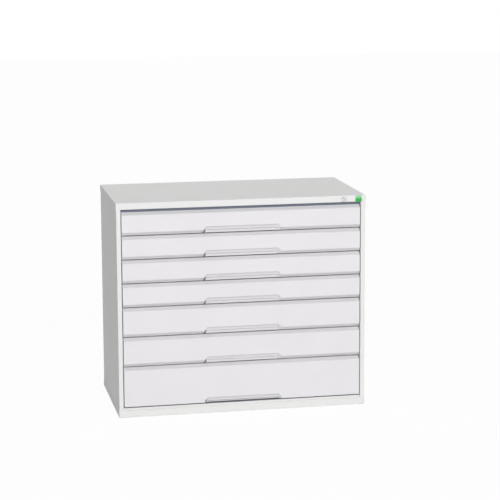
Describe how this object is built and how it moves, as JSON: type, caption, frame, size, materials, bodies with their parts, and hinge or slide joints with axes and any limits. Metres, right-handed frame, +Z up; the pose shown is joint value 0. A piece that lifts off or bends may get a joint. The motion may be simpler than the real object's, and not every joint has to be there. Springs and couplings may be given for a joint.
{
  "type": "steel drawer cabinet",
  "caption": "Free-standing steel cabinet with full-width drawers on telescopic runners, pressed finger grips and one lock for all drawers.",
  "frame": {"origin": "middle of the base's underside", "axes": "+X to the cabinet's right as seen from the front, +Y from the drawer fronts to the back, +Z up"},
  "size_m": [1.05, 0.552, 0.9],
  "materials": {
    "carcass_paint": "satin powder coat, light grey",
    "drawer_paint": "satin powder coat, pale lilac white",
    "zinc": "zinc plated",
    "lock_metal": "bright nickel plated",
    "end_plate": "plain green"
  },
  "bodies": {
    "carcass": {"back_panel": "carcass_paint", "base_tray": "carcass_paint", "carcass_floor": "carcass_paint", "end_plate": "end_plate", "lock_housing": "lock_metal", "lock_nut": "zinc", "runner_fixed_left_1": "zinc", "runner_fixed_left_2": "zinc", "runner_fixed_left_3": "zinc", "runner_fixed_left_4": "zinc", "runner_fixed_left_5": "zinc", "runner_fixed_left_6": "zinc", "runner_fixed_left_7": "zinc", "runner_fixed_right_1": "zinc", "runner_fixed_right_2": "zinc", "runner_fixed_right_3": "zinc", "runner_fixed_right_4": "zinc", "runner_fixed_right_5": "zinc", "runner_fixed_right_6": "zinc", "runner_fixed_right_7": "zinc", "side_panel_left": "carcass_paint", "side_panel_right": "carcass_paint", "top_cover": "carcass_paint", "upright_front_left": "zinc", "upright_front_right": "zinc", "upright_rear_left": "zinc", "upright_rear_right": "zinc"},
    "drawer_1": {"drawer_front_1": "drawer_paint", "drawer_tray_1": "carcass_paint"},
    "runner_middle_left_1": {"runner_middle_left_1": "zinc"},
    "runner_middle_right_1": {"runner_middle_right_1": "zinc"},
    "drawer_2": {"drawer_front_2": "drawer_paint", "drawer_tray_2": "carcass_paint"},
    "runner_middle_left_2": {"runner_middle_left_2": "zinc"},
    "runner_middle_right_2": {"runner_middle_right_2": "zinc"},
    "drawer_3": {"drawer_front_3": "drawer_paint", "drawer_tray_3": "carcass_paint"},
    "runner_middle_left_3": {"runner_middle_left_3": "zinc"},
    "runner_middle_right_3": {"runner_middle_right_3": "zinc"},
    "drawer_4": {"drawer_front_4": "drawer_paint", "drawer_tray_4": "carcass_paint"},
    "runner_middle_left_4": {"runner_middle_left_4": "zinc"},
    "runner_middle_right_4": {"runner_middle_right_4": "zinc"},
    "drawer_5": {"drawer_front_5": "drawer_paint", "drawer_tray_5": "carcass_paint"},
    "runner_middle_left_5": {"runner_middle_left_5": "zinc"},
    "runner_middle_right_5": {"runner_middle_right_5": "zinc"},
    "drawer_6": {"drawer_front_6": "drawer_paint", "drawer_tray_6": "carcass_paint"},
    "runner_middle_left_6": {"runner_middle_left_6": "zinc"},
    "runner_middle_right_6": {"runner_middle_right_6": "zinc"},
    "drawer_7": {"drawer_front_7": "drawer_paint", "drawer_tray_7": "carcass_paint"},
    "runner_middle_left_7": {"runner_middle_left_7": "zinc"},
    "runner_middle_right_7": {"runner_middle_right_7": "zinc"},
    "lock_barrel": {"lock_plug": "lock_metal", "lock_cam": "zinc"},
    "lock_plate": {"lock_plate": "zinc"},
    "lock_bar": {"lock_bar": "zinc"}
  },
  "joints": [
    {"name": "drawer_1_slide", "type": "slide", "parent": "carcass", "child": "drawer_1", "axis": [0, -1, 0], "range_m": [0, 0.45]},
    {"name": "runner_middle_left_1_slide", "type": "slide", "parent": "carcass", "child": "runner_middle_left_1", "axis": [0, -1, 0], "range_m": [0, 0.225]},
    {"name": "runner_middle_right_1_slide", "type": "slide", "parent": "carcass", "child": "runner_middle_right_1", "axis": [0, -1, 0], "range_m": [0, 0.225]},
    {"name": "drawer_2_slide", "type": "slide", "parent": "carcass", "child": "drawer_2", "axis": [0, -1, 0], "range_m": [0, 0.45]},
    {"name": "runner_middle_left_2_slide", "type": "slide", "parent": "carcass", "child": "runner_middle_left_2", "axis": [0, -1, 0], "range_m": [0, 0.225]},
    {"name": "runner_middle_right_2_slide", "type": "slide", "parent": "carcass", "child": "runner_middle_right_2", "axis": [0, -1, 0], "range_m": [0, 0.225]},
    {"name": "drawer_3_slide", "type": "slide", "parent": "carcass", "child": "drawer_3", "axis": [0, -1, 0], "range_m": [0, 0.45]},
    {"name": "runner_middle_left_3_slide", "type": "slide", "parent": "carcass", "child": "runner_middle_left_3", "axis": [0, -1, 0], "range_m": [0, 0.225]},
    {"name": "runner_middle_right_3_slide", "type": "slide", "parent": "carcass", "child": "runner_middle_right_3", "axis": [0, -1, 0], "range_m": [0, 0.225]},
    {"name": "drawer_4_slide", "type": "slide", "parent": "carcass", "child": "drawer_4", "axis": [0, -1, 0], "range_m": [0, 0.45]},
    {"name": "runner_middle_left_4_slide", "type": "slide", "parent": "carcass", "child": "runner_middle_left_4", "axis": [0, -1, 0], "range_m": [0, 0.225]},
    {"name": "runner_middle_right_4_slide", "type": "slide", "parent": "carcass", "child": "runner_middle_right_4", "axis": [0, -1, 0], "range_m": [0, 0.225]},
    {"name": "drawer_5_slide", "type": "slide", "parent": "carcass", "child": "drawer_5", "axis": [0, -1, 0], "range_m": [0, 0.45]},
    {"name": "runner_middle_left_5_slide", "type": "slide", "parent": "carcass", "child": "runner_middle_left_5", "axis": [0, -1, 0], "range_m": [0, 0.225]},
    {"name": "runner_middle_right_5_slide", "type": "slide", "parent": "carcass", "child": "runner_middle_right_5", "axis": [0, -1, 0], "range_m": [0, 0.225]},
    {"name": "drawer_6_slide", "type": "slide", "parent": "carcass", "child": "drawer_6", "axis": [0, -1, 0], "range_m": [0, 0.45]},
    {"name": "runner_middle_left_6_slide", "type": "slide", "parent": "carcass", "child": "runner_middle_left_6", "axis": [0, -1, 0], "range_m": [0, 0.225]},
    {"name": "runner_middle_right_6_slide", "type": "slide", "parent": "carcass", "child": "runner_middle_right_6", "axis": [0, -1, 0], "range_m": [0, 0.225]},
    {"name": "drawer_7_slide", "type": "slide", "parent": "carcass", "child": "drawer_7", "axis": [0, -1, 0], "range_m": [0, 0.45]},
    {"name": "runner_middle_left_7_slide", "type": "slide", "parent": "carcass", "child": "runner_middle_left_7", "axis": [0, -1, 0], "range_m": [0, 0.225]},
    {"name": "runner_middle_right_7_slide", "type": "slide", "parent": "carcass", "child": "runner_middle_right_7", "axis": [0, -1, 0], "range_m": [0, 0.225]},
    {"name": "lock_turn", "type": "hinge", "parent": "carcass", "child": "lock_barrel", "pos_m": [0.4315, -0.274, 0.884], "axis": [0, 1, 0], "range_deg": [0, 90]},
    {"name": "lock_plate_slide", "type": "slide", "parent": "carcass", "child": "lock_plate", "axis": [-1, 0, 0], "range_m": [0, 0.01414]},
    {"name": "lock_bar_slide", "type": "slide", "parent": "carcass", "child": "lock_bar", "axis": [0, 0, -1], "range_m": [0, 0.01414]}
  ],
  "couplings": [
    {"joint": "runner_middle_left_1_slide", "follows": "drawer_1_slide", "ratio": 0.5},
    {"joint": "runner_middle_right_1_slide", "follows": "drawer_1_slide", "ratio": 0.5},
    {"joint": "runner_middle_left_2_slide", "follows": "drawer_2_slide", "ratio": 0.5},
    {"joint": "runner_middle_right_2_slide", "follows": "drawer_2_slide", "ratio": 0.5},
    {"joint": "runner_middle_left_3_slide", "follows": "drawer_3_slide", "ratio": 0.5},
    {"joint": "runner_middle_right_3_slide", "follows": "drawer_3_slide", "ratio": 0.5},
    {"joint": "runner_middle_left_4_slide", "follows": "drawer_4_slide", "ratio": 0.5},
    {"joint": "runner_middle_right_4_slide", "follows": "drawer_4_slide", "ratio": 0.5},
    {"joint": "runner_middle_left_5_slide", "follows": "drawer_5_slide", "ratio": 0.5},
    {"joint": "runner_middle_right_5_slide", "follows": "drawer_5_slide", "ratio": 0.5},
    {"joint": "runner_middle_left_6_slide", "follows": "drawer_6_slide", "ratio": 0.5},
    {"joint": "runner_middle_right_6_slide", "follows": "drawer_6_slide", "ratio": 0.5},
    {"joint": "runner_middle_left_7_slide", "follows": "drawer_7_slide", "ratio": 0.5},
    {"joint": "runner_middle_right_7_slide", "follows": "drawer_7_slide", "ratio": 0.5},
    {"joint": "lock_plate_slide", "follows": "lock_bar_slide", "ratio": 1},
    {"joint": "lock_turn", "follows": "lock_bar_slide", "rad_per_m": 111.07}
  ]
}
